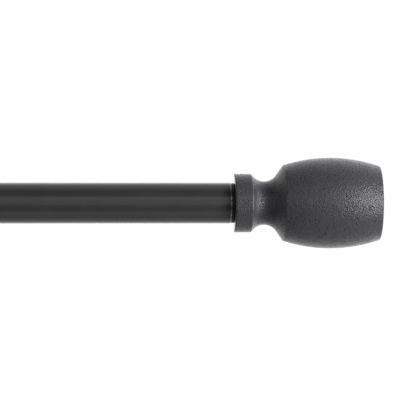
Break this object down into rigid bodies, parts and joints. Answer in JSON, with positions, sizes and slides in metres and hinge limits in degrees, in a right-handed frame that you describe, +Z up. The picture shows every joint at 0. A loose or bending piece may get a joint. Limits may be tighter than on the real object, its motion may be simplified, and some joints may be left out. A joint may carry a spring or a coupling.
{
  "type": "curtain rod with brackets",
  "caption": "Telescoping round curtain rod in matte black with textured barrel finials, carried in open cradles on adjustable wall brackets.",
  "frame": {"origin": "centre of the right bracket's wall face, level with the rod's axis", "axes": "+X along the rod towards the right finial, +Y into the wall, +Z up"},
  "size_m": [1.1002, 0.1185, 0.08],
  "materials": {
    "rod_paint": "satin black baked paint",
    "finial_coat": "charcoal fine-grain textured coat over cast resin",
    "black_nylon": "smooth black nylon",
    "white_nylon": "natural nylon",
    "bracket_paint": "matte black powder coat",
    "liner_rubber": "soft black",
    "black_zinc": "black zinc plate",
    "zinc_steel": "bright zinc plate"
  },
  "bodies": {
    "bracket_base_right": {"wall_plate_right": "bracket_paint", "arm_socket_right": "bracket_paint"},
    "bracket_arm_right": {"bracket_arm_right": "bracket_paint", "rod_cradle_right": "bracket_paint", "cradle_liner_right": "liner_rubber"},
    "rod_outer": {"outer_tube": "rod_paint", "glide_ring": "black_nylon", "end_plug_right": "black_nylon", "plug_nut_right": "zinc_steel"},
    "rod_inner": {"inner_tube": "rod_paint", "inner_glide": "white_nylon", "end_plug_left": "black_nylon", "plug_nut_left": "zinc_steel"},
    "bracket_base_left": {"wall_plate_left": "bracket_paint", "arm_socket_left": "bracket_paint"},
    "bracket_arm_left": {"bracket_arm_left": "bracket_paint", "rod_cradle_left": "bracket_paint", "cradle_liner_left": "liner_rubber"},
    "washer_right": {"spacer_washer_right": "black_nylon"},
    "finial_right": {"finial_right": "finial_coat", "finial_stud_right": "zinc_steel"},
    "washer_left": {"spacer_washer_left": "black_nylon"},
    "finial_left": {"finial_left": "finial_coat", "finial_stud_left": "zinc_steel"},
    "rod_lock_tip_right": {"rod_lock_tip_right": "white_nylon"},
    "rod_lock_screw_right": {"rod_lock_screw_right": "black_zinc"},
    "arm_lock_tip_right": {"arm_lock_tip_right": "white_nylon"},
    "arm_lock_screw_right": {"arm_lock_screw_right": "black_zinc"},
    "rod_lock_tip_left": {"rod_lock_tip_left": "white_nylon"},
    "rod_lock_screw_left": {"rod_lock_screw_left": "black_zinc"},
    "arm_lock_tip_left": {"arm_lock_tip_left": "white_nylon"},
    "arm_lock_screw_left": {"arm_lock_screw_left": "black_zinc"}
  },
  "joints": [
    {"name": "projection", "type": "slide", "parent": "bracket_base_right", "child": "bracket_arm_right", "axis": [0, -1, 0], "range_m": [0, 0.038]},
    {"name": "rod_lift", "type": "slide", "parent": "bracket_arm_right", "child": "rod_outer", "axis": [0, 0, 1], "range_m": [0, 0.035]},
    {"name": "rod_extend", "type": "slide", "parent": "rod_outer", "child": "rod_inner", "axis": [-1, 0, 0], "range_m": [-0.024, 0.305]},
    {"name": "left_bracket_place", "type": "slide", "parent": "bracket_base_right", "child": "bracket_base_left", "axis": [-1, 0, 0], "range_m": [-0.024, 0.305]},
    {"name": "projection_left", "type": "slide", "parent": "bracket_base_left", "child": "bracket_arm_left", "axis": [0, -1, 0], "range_m": [0, 0.038]},
    {"name": "finial_right_travel", "type": "slide", "parent": "rod_outer", "child": "washer_right", "axis": [1, 0, 0], "range_m": [0, 0.015]},
    {"name": "finial_right_turn", "type": "hinge", "parent": "washer_right", "child": "finial_right", "pos_m": [0.165, -0.089, 0], "axis": [1, 0, 0], "range_deg": [0, 4321]},
    {"name": "finial_left_travel", "type": "slide", "parent": "rod_inner", "child": "washer_left", "axis": [-1, 0, 0], "range_m": [0, 0.015]},
    {"name": "finial_left_turn", "type": "hinge", "parent": "washer_left", "child": "finial_left", "pos_m": [-0.749, -0.089, 0], "axis": [-1, 0, 0], "range_deg": [0, 4321]},
    {"name": "rod_lock_right_travel", "type": "slide", "parent": "bracket_arm_right", "child": "rod_lock_tip_right", "axis": [0, -1, 0], "range_m": [0, 0.0032]},
    {"name": "rod_lock_right_turn", "type": "hinge", "parent": "rod_lock_tip_right", "child": "rod_lock_screw_right", "pos_m": [0, -0.1067, 0], "axis": [0, -1, 0], "range_deg": [0, 1441]},
    {"name": "arm_lock_right_travel", "type": "slide", "parent": "bracket_base_right", "child": "arm_lock_tip_right", "axis": [0, 0, -1], "range_m": [0, 0.0032]},
    {"name": "arm_lock_right_turn", "type": "hinge", "parent": "arm_lock_tip_right", "child": "arm_lock_screw_right", "pos_m": [0, -0.052, -0.01], "axis": [0, 0, -1], "range_deg": [0, 1441]},
    {"name": "rod_lock_left_travel", "type": "slide", "parent": "bracket_arm_left", "child": "rod_lock_tip_left", "axis": [0, -1, 0], "range_m": [0, 0.0032]},
    {"name": "rod_lock_left_turn", "type": "hinge", "parent": "rod_lock_tip_left", "child": "rod_lock_screw_left", "pos_m": [-0.584, -0.1051, 0], "axis": [0, -1, 0], "range_deg": [0, 1441]},
    {"name": "arm_lock_left_travel", "type": "slide", "parent": "bracket_base_left", "child": "arm_lock_tip_left", "axis": [0, 0, -1], "range_m": [0, 0.0032]},
    {"name": "arm_lock_left_turn", "type": "hinge", "parent": "arm_lock_tip_left", "child": "arm_lock_screw_left", "pos_m": [-0.584, -0.052, -0.01], "axis": [0, 0, -1], "range_deg": [0, 1441]}
  ],
  "couplings": [
    {"joint": "left_bracket_place", "follows": "rod_extend", "ratio": 1},
    {"joint": "projection_left", "follows": "projection", "ratio": 1},
    {"joint": "finial_right_turn", "follows": "finial_right_travel", "rad_per_m": 5026.5},
    {"joint": "finial_left_turn", "follows": "finial_left_travel", "rad_per_m": 5026.5},
    {"joint": "rod_lock_right_turn", "follows": "rod_lock_right_travel", "rad_per_m": 7854},
    {"joint": "arm_lock_right_turn", "follows": "arm_lock_right_travel", "rad_per_m": 7854},
    {"joint": "rod_lock_left_turn", "follows": "rod_lock_left_travel", "rad_per_m": 7854},
    {"joint": "arm_lock_left_turn", "follows": "arm_lock_left_travel", "rad_per_m": 7854}
  ]
}
